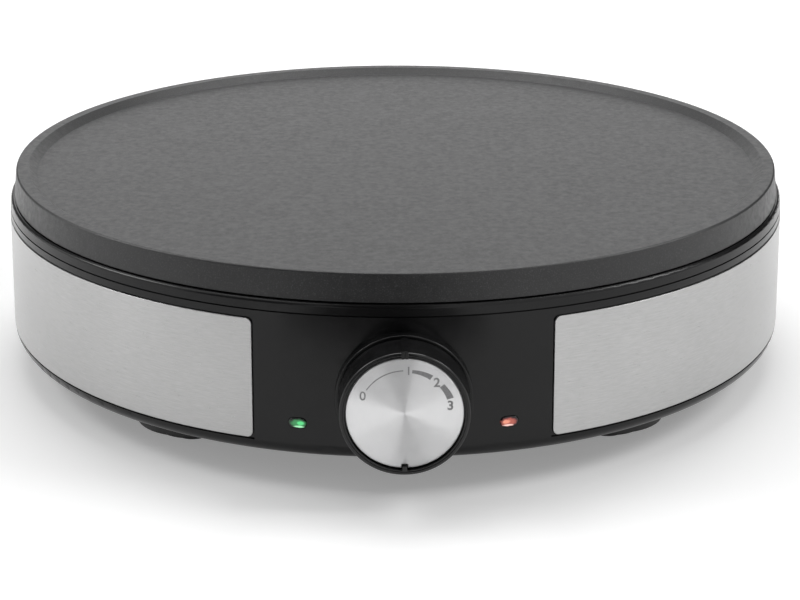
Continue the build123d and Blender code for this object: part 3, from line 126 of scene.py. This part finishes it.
class Finish(Graph):
    """A node material; every finish is worked out from the place on the object."""

    def __init__(self, name, roughness=0.5, metallic=0.0, **constants):
        self.material = bpy.data.materials.new(name)
        self.material.use_nodes = True
        super().__init__(self.material.node_tree)
        self.shader = self.tree.nodes["Principled BSDF"]
        self.shader.inputs["Roughness"].default_value = roughness
        self.shader.inputs["Metallic"].default_value = metallic
        for socket, value in constants.items():
            self.shader.inputs[socket.replace("_", " ")].default_value = value
        self.place = self.add("ShaderNodeTexCoord", {}).outputs["Object"]

    def drive(self, socket, value):
        self.tree.links.new(value, self.shader.inputs[socket])

    def vector_math(self, operation, inputs):
        return self.add("ShaderNodeVectorMath", inputs, operation=operation).outputs

    def vector(self, operation, first, second=(0, 0, 0)):
        return self.vector_math(operation, {0: first, 1: second})[0]

    def measure(self, operation, first, second=(0, 0, 0)):
        """LENGTH or DOT_PRODUCT, which give a number."""
        return self.vector_math(operation, {0: first, 1: second})["Value"]

    def scale(self, vector, amount):
        return self.vector_math("SCALE", {0: vector, "Scale": amount})[0]

    def split(self, vector):
        return self.add("ShaderNodeSeparateXYZ", {"Vector": vector}).outputs

    def join(self, x=0.0, y=0.0, z=0.0):
        return self.add("ShaderNodeCombineXYZ", {0: x, 1: y, 2: z}).outputs[0]

    def blend(self, first, first_share, second, second_share):
        """Sum of two numbers, each times its share."""
        return self.math("ADD", self.math("MULTIPLY", first, first_share),
                         self.math("MULTIPLY", second, second_share))

    def surface_normal(self):
        return self.add("ShaderNodeNewGeometry", {}).outputs["Normal"]

    def noise(self, scale, detail, place=None, rough=0.55):
        return self.add("ShaderNodeTexNoise", {
            "Vector": self.place if place is None else place,
            "Scale": scale, "Detail": detail, "Roughness": rough}).outputs["Fac"]

    def ramp(self, factor, *stops):
        """Colours, or grey levels, between which the factor runs."""
        node = self.add("ShaderNodeValToRGB", {"Fac": factor})
        band = node.color_ramp
        for position, value in stops[1:-1]:
            band.elements.new(position)
        for element, (position, value) in zip(band.elements, stops):
            element.position = position
            element.color = rgba(value)
        return node.outputs["Color"]

    def cloudy(self, factor, dark, light):
        """Ramp over the middle of a noise's range, which is all that it reaches."""
        return self.ramp(factor, (0.3, dark), (0.7, light))

    def span(self, factor, low, high):
        """Number that runs from low to high over the middle of a noise's range."""
        return self.add("ShaderNodeMapRange", {
            "Value": factor, "From Min": 0.3, "From Max": 0.7,
            "To Min": low, "To Max": high}).outputs["Result"]

    def mix(self, factor, first, second):
        node = self.add("ShaderNodeMix", {"Factor": factor}, data_type="RGBA")
        for socket, value in ((node.inputs[6], first), (node.inputs[7], second)):
            if isinstance(value, bpy.types.NodeSocket):
                self.tree.links.new(value, socket)
            else:
                socket.default_value = rgba(value)
        return node.outputs[2]

    def bump(self, height, strength, distance, normal=None):
        inputs = {"Height": height, "Strength": strength, "Distance": distance}
        if normal is not None:
            inputs["Normal"] = normal
        return self.add("ShaderNodeBump", inputs).outputs["Normal"]

    def soft_edges(self, radius):
        return self.add("ShaderNodeBevel", {"Radius": radius}, samples=6).outputs["Normal"]


def rgba(value):
    if isinstance(value, (int, float)):
        return (value, value, value, 1.0)
    return (*value, 1.0)


# ------------------------------------------------------------------ finishes

def moulded(name, dark, light, roughness, grain=1400, patch=45, relief=0.02,
            edge=0.0, shape=None, **constants):
    """Moulded or rubbery surface: cloudy colour, uneven gloss and a fine grain.

    The relief is in millimetres. Edges are softened to the radius given as edge, or the
    function given as shape works out the normal.
    """
    f = Finish(name, **constants)
    f.drive("Base Color", f.cloudy(f.noise(patch, 4), dark, light))
    f.drive("Roughness", f.span(f.noise(patch * 5, 5), *roughness))
    shaped = None
    if edge:
        shaped = f.soft_edges(edge)
    elif shape:
        shaped = shape(f)
    f.drive("Normal", f.bump(f.noise(grain, 2), 0.6, relief * MM, shaped))
    return f.material


def metal(name, dark, light, roughness, patch=60, grain=900, relief=0.01, stretch=(1, 1, 1)):
    """Bare or plated metal, with drawn or rolled lines along the axis that stretch leaves short."""
    f = Finish(name, metallic=1.0)
    long_way = f.vector("MULTIPLY", f.place, stretch)
    f.drive("Base Color", f.cloudy(f.noise(patch, 5), dark, light))
    f.drive("Roughness", f.span(f.noise(patch * 6, 4, long_way), *roughness))
    f.drive("Normal", f.bump(f.noise(grain, 3, long_way), 0.5, relief * MM))
    return f.material


def lip_normal(f):
    """Normal that shades the lip's rounded edge as one arc, so its long triangles don't show."""
    height = f.split(f.place)[2]
    level = f.vector("MULTIPLY", f.place, (1, 1, 0))
    up = f.math("DIVIDE", f.math("SUBTRACT", height, LIP_EDGE_CENTRE), LIP_EDGE_RADIUS)
    up = f.math("MINIMUM", f.math("MAXIMUM", up, 0.0), 1.0)
    out = f.math("SQRT", f.math("SUBTRACT", 1.0, f.math("MULTIPLY", up, up)))
    arc = f.vector("ADD", f.scale(f.vector("NORMALIZE", level), out), f.join(z=up))
    on_lip = f.math("MULTIPLY", f.math("GREATER_THAN", height, LIP_EDGE_FOOT),
                    f.math("GREATER_THAN", f.measure("LENGTH", level), LIP_FLAT_RADIUS))
    elsewhere = f.math("SUBTRACT", 1.0, on_lip)
    return f.vector("ADD", f.scale(arc, on_lip), f.scale(f.surface_normal(), elsewhere))


def coated_plate(name):
    """Non-stick coating: nearly black, finely speckled, with a slight orange peel."""
    f = Finish(name, Specular_IOR_Level=0.5)
    cloud = f.cloudy(f.noise(30, 4), (0.0130, 0.0130, 0.0135), (0.0185, 0.0185, 0.0190))
    fleck = f.ramp(f.noise(2300, 2), (0.56, 0.0), (0.68, 1.0))
    f.drive("Base Color", f.mix(f.math("MULTIPLY", fleck, 0.75), cloud, (0.058, 0.058, 0.060)))
    f.drive("Roughness", f.span(f.noise(420, 4), 0.34, 0.48))
    f.drive("Normal", f.bump(f.noise(1500, 3), 0.55, 0.045 * MM, f.soft_edges(0.35 * MM)))
    return f.material


def brushed_panel(name):
    """Steel brushed along the panel: fine short streaks run round the wall."""
    f = Finish(name, metallic=1.0, Anisotropic=0.55)
    x, y, z = f.split(f.place)
    turn = f.math("ARCTAN2", y, x)

    def streaks(along, across, detail):
        where = f.join(f.math("MULTIPLY", turn, along), f.math("MULTIPLY", z, across))
        return f.noise(1.0, detail, where, 0.6)

    fine = streaks(14.0, 5200.0, 3)
    short = streaks(34.0, 2100.0, 2)
    tone = f.blend(f.blend(fine, 0.45, short, 0.55), 0.75, f.noise(16, 3), 0.25)
    f.drive("Base Color", f.ramp(tone, (0.30, (0.365, 0.364, 0.362)), (0.5, (0.435, 0.434, 0.432)),
                                 (0.70, (0.51, 0.509, 0.507))))
    f.drive("Roughness", f.span(short, 0.27, 0.38))
    f.drive("Normal", f.bump(fine, 0.22, 0.02 * MM, f.soft_edges(0.45 * MM)))
    f.drive("Tangent", f.join(z=1.0))
    return f.material


def spun_disc(name, centre):
    """Turned aluminium face: grooves run round its centre, so light gathers in wedges."""
    f = Finish(name, metallic=1.0, Anisotropic=0.95)
    spoke = f.vector("MULTIPLY", f.vector("SUBTRACT", f.place, centre), (1, 0, 1))
    outward = f.add("ShaderNodeVectorTransform", {"Vector": spoke}, vector_type="VECTOR",
                    convert_from="OBJECT", convert_to="WORLD").outputs[0]
    outward = f.vector("NORMALIZE", outward)
    radius = f.measure("LENGTH", spoke)

    def grooves(count, detail, rough):
        """Rings, so many to the metre."""
        return f.noise(1.0, detail, f.join(f.math("MULTIPLY", radius, count)), rough)

    rings = grooves(7500.0, 3, 0.7)
    tone = f.blend(rings, 0.7, f.noise(110, 2), 0.3)
    f.drive("Base Color", f.cloudy(tone, (0.60, 0.60, 0.605), (0.71, 0.71, 0.715)))
    f.drive("Roughness", f.span(rings, 0.27, 0.31))
    lean = f.span(grooves(90000.0, 1, 0.5), -GROOVE_LEAN, GROOVE_LEAN)
    leant = f.vector("ADD", f.soft_edges(0.2 * MM), f.scale(outward, lean))
    f.drive("Normal", f.vector("NORMALIZE", leant))
    f.drive("Tangent", outward)
    return f.material


def lens(colour, knob_side, dark, body, painted_glow, painted_edge_highlight):
    """Pill of tinted plastic whose emission is painted glow: the small bulb's glow is painted on
    the knob's side, with a painted highlight at the lower edge.

    knob_side is 1 for the lens that has the knob to its right, as seen from the front, and -1
    for the other.
    """
    f = Finish(f"{colour}_lens", IOR=1.49, Specular_IOR_Level=0.35,
               Coat_Weight=0.2, Coat_Roughness=0.03)
    middle, along = lens_face(colour)
    from_middle = f.vector("SUBTRACT", f.place, middle)
    across = f.measure("DOT_PRODUCT", from_middle, along)
    u = f.math("MULTIPLY", across, knob_side / LENS_HALF_WIDTH)
    v = f.math("MULTIPLY", f.split(from_middle)[2], 1 / LENS_HALF_HEIGHT)
    ripple = f.math("MULTIPLY", f.math("SUBTRACT", f.noise(900, 2), 0.5), 0.5)

    def spot(place_u, place_v, reach_u, reach_v):
        """1 inside an ellipse of the face, 0 well outside it."""
        offset = f.join(f.math("MULTIPLY", f.math("SUBTRACT", u, place_u), 1 / reach_u),
                        f.math("MULTIPLY", f.math("SUBTRACT", v, place_v), 1 / reach_v))
        return f.ramp(f.math("ADD", f.measure("LENGTH", offset), ripple), (0.62, 1.0), (1.0, 0.0))

    # Painted glow and highlight: emission spots stand in for the bulb's light and for a highlight
    # along the lower edge.
    inside = spot(0.0, 0.0, 1.02, 0.98)
    tint = f.mix(inside, (0, 0, 0), dark)
    tint = f.mix(spot(0.04, -0.02, 0.94, 0.86), tint, body)
    tint = f.mix(spot(0.28, 0.06, 0.48, 0.44), tint, painted_glow)
    tint = f.mix(spot(0.06, -0.62, 0.68, 0.22), tint, painted_edge_highlight)
    f.drive("Emission Color", tint)
    f.shader.inputs["Emission Strength"].default_value = 1.0
    f.drive("Base Color", f.mix(inside, (0.004, 0.004, 0.004), dark))
    f.drive("Roughness", f.span(f.noise(500, 3), 0.05, 0.11))
    f.drive("Normal", f.bump(f.noise(300, 1), 0.25, 0.04 * MM))
    return f.material


def lens_face(colour):
    """Middle of a lens's front face, and the level direction along it.

    The direction runs to the right, as seen from the front.
    """
    low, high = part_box(f"{colour}_lamp_lens")
    middle = (low + high) / 2
    out = Vector((middle.x, middle.y, 0)).normalized()
    return tuple(middle + out * LENS_HALF_DEPTH), (-out.y, out.x, 0.0)


def glass(name):
    f = Finish(name, roughness=0.04, Transmission_Weight=0.9, IOR=1.46)
    f.drive("Base Color", f.cloudy(f.noise(260, 2), (0.86, 0.88, 0.88), (0.97, 0.97, 0.97)))
    f.drive("Normal", f.bump(f.noise(420, 2), 0.15, 0.03 * MM))
    return f.material


def earth_sleeve(name):
    """Green insulation with a yellow stripe along its upper side."""
    f = Finish(name)
    up = f.split(f.surface_normal())[2]
    edge = f.math("ADD", up, f.math("MULTIPLY", f.noise(900, 2), 0.1))
    stripe = f.ramp(edge, (0.42, 0.0), (0.47, 1.0))
    f.drive("Base Color", f.mix(stripe, (0.02, 0.17, 0.035), (0.62, 0.50, 0.03)))
    f.drive("Roughness", f.span(f.noise(500, 3), 0.42, 0.58))
    f.drive("Normal", f.bump(f.noise(1300, 2), 0.3, 0.02 * MM))
    return f.material


def printed(name):
    """Grey ink, slightly uneven."""
    f = Finish(name, Specular_IOR_Level=0.3)
    f.drive("Base Color", f.cloudy(f.noise(1500, 3), (0.27, 0.27, 0.275), (0.34, 0.34, 0.345)))
    f.drive("Roughness", f.span(f.noise(2500, 2), 0.45, 0.6))
    f.drive("Normal", f.bump(f.noise(3000, 2), 0.3, 0.01 * MM))
    return f.material


disc_low, disc_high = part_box("knob_disc")
disc_radius = (disc_high.x - disc_low.x) / 2
disc_front = disc_low.y
knob_axis_z = Vector(frame["joints"][0]["pos_m"]).z

GLOSS_BLACK = dict(dark=(0.0055, 0.0055, 0.0058), light=(0.0075, 0.0075, 0.0078))
SLEEVE_ROUGHNESS = (0.42, 0.56)

MOULDED = {
    "heat_resisting_washer": dict(
        dark=(0.50, 0.46, 0.38), light=(0.64, 0.60, 0.52), roughness=(0.7, 0.85)),
    "black_housing": dict(
        GLOSS_BLACK, roughness=(0.17, 0.23), grain=900, patch=30, relief=0.002,
        shape=lip_normal, Specular_IOR_Level=0.28),
    "black_knob": dict(
        GLOSS_BLACK, roughness=(0.20, 0.26), grain=1800, patch=60, relief=0.001,
        edge=0.25 * MM, Specular_IOR_Level=0.40),
    "black_base": dict(
        dark=0.012, light=0.018, roughness=(0.42, 0.55), grain=1800, patch=40, relief=0.05,
        edge=0.3 * MM, Specular_IOR_Level=0.4),
    "foot_rubber": dict(
        dark=0.010, light=0.020, roughness=(0.68, 0.86), grain=1500, patch=90, relief=0.06),
    "gland_plastic": dict(
        dark=0.010, light=0.016, roughness=(0.36, 0.5), grain=1500, patch=60, relief=0.03),
    "thermostat_moulding": dict(
        dark=(0.36, 0.32, 0.25), light=(0.46, 0.42, 0.34), roughness=(0.55, 0.7)),
    "block_plastic": dict(
        dark=(0.60, 0.58, 0.52), light=(0.72, 0.70, 0.65), roughness=(0.38, 0.5)),
    "brown_sleeve": dict(
        dark=(0.085, 0.035, 0.015), light=(0.13, 0.055, 0.025), roughness=SLEEVE_ROUGHNESS),
    "black_sleeve": dict(dark=0.010, light=0.018, roughness=SLEEVE_ROUGHNESS),
    "blue_sleeve": dict(
        dark=(0.012, 0.06, 0.22), light=(0.02, 0.09, 0.32), roughness=SLEEVE_ROUGHNESS),
    "white_sleeve": dict(dark=0.60, light=0.72, roughness=SLEEVE_ROUGHNESS),
}

METALS = {
    "element_sheath": dict(
        dark=(0.075, 0.068, 0.06), light=(0.17, 0.155, 0.14), roughness=(0.42, 0.58)),
    "plated_steel": dict(dark=0.46, light=0.60, roughness=(0.24, 0.38)),
    "reflector_sheet": dict(
        dark=0.52, light=0.66, roughness=(0.28, 0.42), patch=25, grain=500, relief=0.02,
        stretch=(0.15, 1, 1)),
    "black_screws": dict(dark=0.04, light=0.075, roughness=(0.34, 0.5)),
    "terminal_brass": dict(
        dark=(0.58, 0.40, 0.15), light=(0.76, 0.56, 0.25), roughness=(0.26, 0.42)),
    "capillary_copper": dict(
        dark=(0.52, 0.22, 0.12), light=(0.76, 0.38, 0.24), roughness=(0.26, 0.42)),
    "fuse_case": dict(
        dark=(0.50, 0.48, 0.42), light=(0.64, 0.62, 0.56), roughness=(0.3, 0.45)),
}

finishes = {
    **{name: moulded(name, **look) for name, look in MOULDED.items()},
    **{name: metal(name, **look) for name, look in METALS.items()},
    "coated_aluminium": coated_plate("coated_aluminium"),
    "brushed_panel": brushed_panel("brushed_panel"),
    "spun_disc": spun_disc("spun_disc", (0.0, disc_front, knob_axis_z)),
    # The lenses' emission colours are painted glow, with a painted highlight for the lower edge.
    "green_lens": lens("green", 1, dark=(0.012, 0.06, 0.024), body=(0.035, 0.24, 0.075),
                       painted_glow=(0.10, 0.72, 0.24), painted_edge_highlight=(0.40, 0.92, 0.52)),
    "red_lens": lens("red", -1, dark=(0.10, 0.022, 0.028), body=(0.42, 0.10, 0.065),
                     painted_glow=(0.85, 0.32, 0.21), painted_edge_highlight=(0.95, 0.64, 0.57)),
    "lamp_glass": glass("lamp_glass"),
    "earth_sleeve": earth_sleeve("earth_sleeve"),
}

for thing in frame["nodes"].values():
    for place in thing.material_slots:
        slot_name = place.material.name.split(".")[0]
        if slot_name in finishes:
            place.material = finishes[slot_name]


# ------------------------------------------------------------------ new objects

def placed(name, data):
    thing = bpy.data.objects.new(name, data)
    bpy.context.scene.collection.objects.link(thing)
    return thing


def made(name, mesh, material):
    data = bpy.data.meshes.new(name)
    mesh.to_mesh(data)
    mesh.free()
    data.materials.append(material)
    return placed(name, data)


# ------------------------------------------------------------------ scale printed on the disc

def on_disc(angle, radius, depth):
    """Point in front of the disc: angle is clockwise from the top, as seen from the front."""
    turn = math.radians(angle)
    height = knob_axis_z + radius * math.cos(turn)
    return Vector((radius * math.sin(turn), disc_front - depth, height))


def digit(character, angle, height, weight):
    """Upright number, its middle on the scale, with strokes made bolder by the weight."""
    name = f"dial_digit_{character}"
    words = bpy.data.curves.new(name, "FONT")
    words.body = character
    words.align_x = "CENTER"
    words.size = height * LETTER_SIZE
    words.offset = height * weight
    words.extrude = INK_THICKNESS / 2
    words.resolution_u = 6
    holder = bpy.data.objects.new(name, words)
    data = bpy.data.meshes.new_from_object(holder)
    bpy.data.objects.remove(holder)
    across = [v.co.x for v in data.vertices]
    upwards = [v.co.y for v in data.vertices]
    middle = Vector((min(across) + max(across), min(upwards) + max(upwards), 0)) / 2
    data.transform(Matrix.Translation(-middle))
    data.transform(Matrix.Rotation(math.pi / 2, 4, "X"))
    place = on_disc(angle, SCALE_RADIUS * disc_radius, INK_THICKNESS / 2)
    data.transform(Matrix.Translation(place))
    data.materials.clear()
    data.materials.append(ink)
    return placed(name, data)


def scale_band(numbers, start, end, inner, outers, steps=28):
    """Band of ink between two numbers; its outer edge moves from one radius to the other."""
    mesh = bmesh.new()
    rows = []
    for step in range(steps + 1):
        share = step / steps
        angle = start + (end - start) * share
        outer = outers[0] + (outers[1] - outers[0]) * share
        corners = ((outer, 0), (outer, INK_THICKNESS), (inner, INK_THICKNESS), (inner, 0))
        rows.append([mesh.verts.new(on_disc(angle, radius * disc_radius, depth))
                     for radius, depth in corners])
    for near, far in zip(rows, rows[1:]):
        for i in range(4):
            mesh.faces.new((near[i], near[(i + 1) % 4], far[(i + 1) % 4], far[i]))
    mesh.faces.new(rows[0][::-1])
    mesh.faces.new(rows[-1])
    bmesh.ops.recalc_face_normals(mesh, faces=mesh.faces)
    return made(f"dial_band_{numbers}", mesh, ink)


ink = printed("dial_ink")
marks = [
    digit("0", -65.0, 3.4 * MM, 0.016),
    digit("1", 4.6, 3.2 * MM, 0.016),
    digit("2", 43.4, 3.5 * MM, 0.032),
    digit("3", 79.0, 3.5 * MM, 0.036),
    scale_band("0_1", -56.0, -2.0, 0.768, (0.784, 0.788), 40),
    scale_band("1_2", 9.0, 34.5, 0.742, (0.80, 0.835)),
    scale_band("2_3", 51.0, 70.5, 0.752, (0.845, 0.868)),
]
for mark in marks:
    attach(mark, "knob")


# ------------------------------------------------------------------ camera, world and floor

camera_data = bpy.data.cameras.new("camera")
camera_data.lens = CAMERA_LENS
camera_data.sensor_width = CAMERA_SENSOR
camera_data.shift_x = CAMERA_SHIFT
camera = placed("camera", camera_data)
camera.location = CAMERA_PLACE
camera.rotation_euler = (CAMERA_AIM - CAMERA_PLACE).to_track_quat("-Z", "Y").to_euler()
bpy.context.scene.camera = camera

world = bpy.data.worlds.new("studio")
bpy.context.scene.world = world
world.use_nodes = True
studio = Graph(world.node_tree)
background = studio.tree.nodes["Background"]
background.inputs["Color"].default_value = (1, 1, 1, 1)
strength = studio.add("ShaderNodeMapRange", {
    "Value": studio.backdrop_rays(), "To Min": WORLD_LIGHT, "To Max": BACKDROP_LEVEL})
studio.tree.links.new(strength.outputs["Result"], background.inputs["Strength"])

floor_mesh = bmesh.new()
bmesh.ops.create_circle(floor_mesh, cap_ends=True, segments=96, radius=FLOOR_RADIUS)
pale = Finish("floor", roughness=0.9, Specular_IOR_Level=0.0)
pale.drive("Base Color", pale.cloudy(pale.noise(3, 3), 0.885, 0.90))
lift = pale.ramp(pale.measure("LENGTH", pale.place), FLOOR_LIFT_NEAR, FLOOR_LIFT_FAR)
pale.shader.inputs["Emission Color"].default_value = (1, 1, 1, 1)
pale.drive("Emission Strength", pale.math("MULTIPLY", pale.backdrop_rays(), lift))
floor = made("floor", floor_mesh, pale.material)


# ------------------------------------------------------------------ lamps and cards

def lamp(name, place, width, height, share):
    """Soft rectangular lamp that gives a share of the light that makes a white floor white."""
    data = bpy.data.lights.new(name, "AREA")
    data.shape = "RECTANGLE"
    data.size = width
    data.size_y = height
    ray = LIT_POINT - Vector(place)
    data.energy = share * math.pi ** 2 * ray.length ** 3 / -ray.z
    thing = placed(name, data)
    thing.location = place
    thing.rotation_euler = ray.to_track_quat("-Z", "Y").to_euler()


def card(name, rungs, dark, light):
    """Strip of card that only shows in the gloss of the object, as a studio's flags do."""
    mesh = bmesh.new()
    rows = [[mesh.verts.new(end) for end in rung] for rung in rungs]
    for near, far in zip(rows, rows[1:]):
        mesh.faces.new((*near, *far[::-1]))
    f = Finish(name, roughness=0.9)
    f.drive("Base Color", f.cloudy(f.noise(4, 2), dark, light))
    flag = made(name, mesh, f.material)
    flag.visible_camera = False
    flag.visible_diffuse = False
    flag.visible_shadow = False


def wall_card(name, start, end, height, dark, light):
    """Upright card between two azimuths, counted from the front towards the right."""
    feet = []
    for azimuth in (start, end):
        turn = math.radians(azimuth)
        feet.append((WALL_CARD_DISTANCE * math.sin(turn), -WALL_CARD_DISTANCE * math.cos(turn)))
    card(name, [[(*foot, level) for foot in feet] for level in (0.0, height)], dark, light)


lamp("back_lamp", (0.0, 1.1, 3.0), 2.6, 1.3, share=0.42)
lamp("left_lamp", (-2.4, 0.5, 2.2), 1.2, 1.2, share=0.17)
lamp("right_lamp", (2.4, 0.1, 2.2), 1.4, 1.2, share=0.21)

# The black flag runs out along the floor in front, up, and back over the object.
card("front_flag", [
    ((-0.16, -0.33, MM), (0.11, -0.33, MM)),
    ((-0.45, -1.2, MM), (0.28, -1.2, MM)),
    ((-0.50, -2.2, MM), (0.26, -2.2, MM)),
    ((-1.00, -2.2, 2.0), (0.48, -2.2, 2.0)),
    ((-0.75, -1.3, 3.0), (0.40, -1.3, 3.0)),
    ((-0.40, 0.3, 3.2), (0.22, 0.3, 3.2)),
], dark=0.015, light=0.02)
wall_card("left_card", -60, -26, 2.8, dark=0.14, light=0.17)
wall_card("left_rear_card", -156, -126, 2.0, dark=0.16, light=0.20)
wall_card("right_rear_card", 100, 156, 2.2, dark=0.05, light=0.07)

bpy.context.scene.view_settings.view_transform = "Standard"
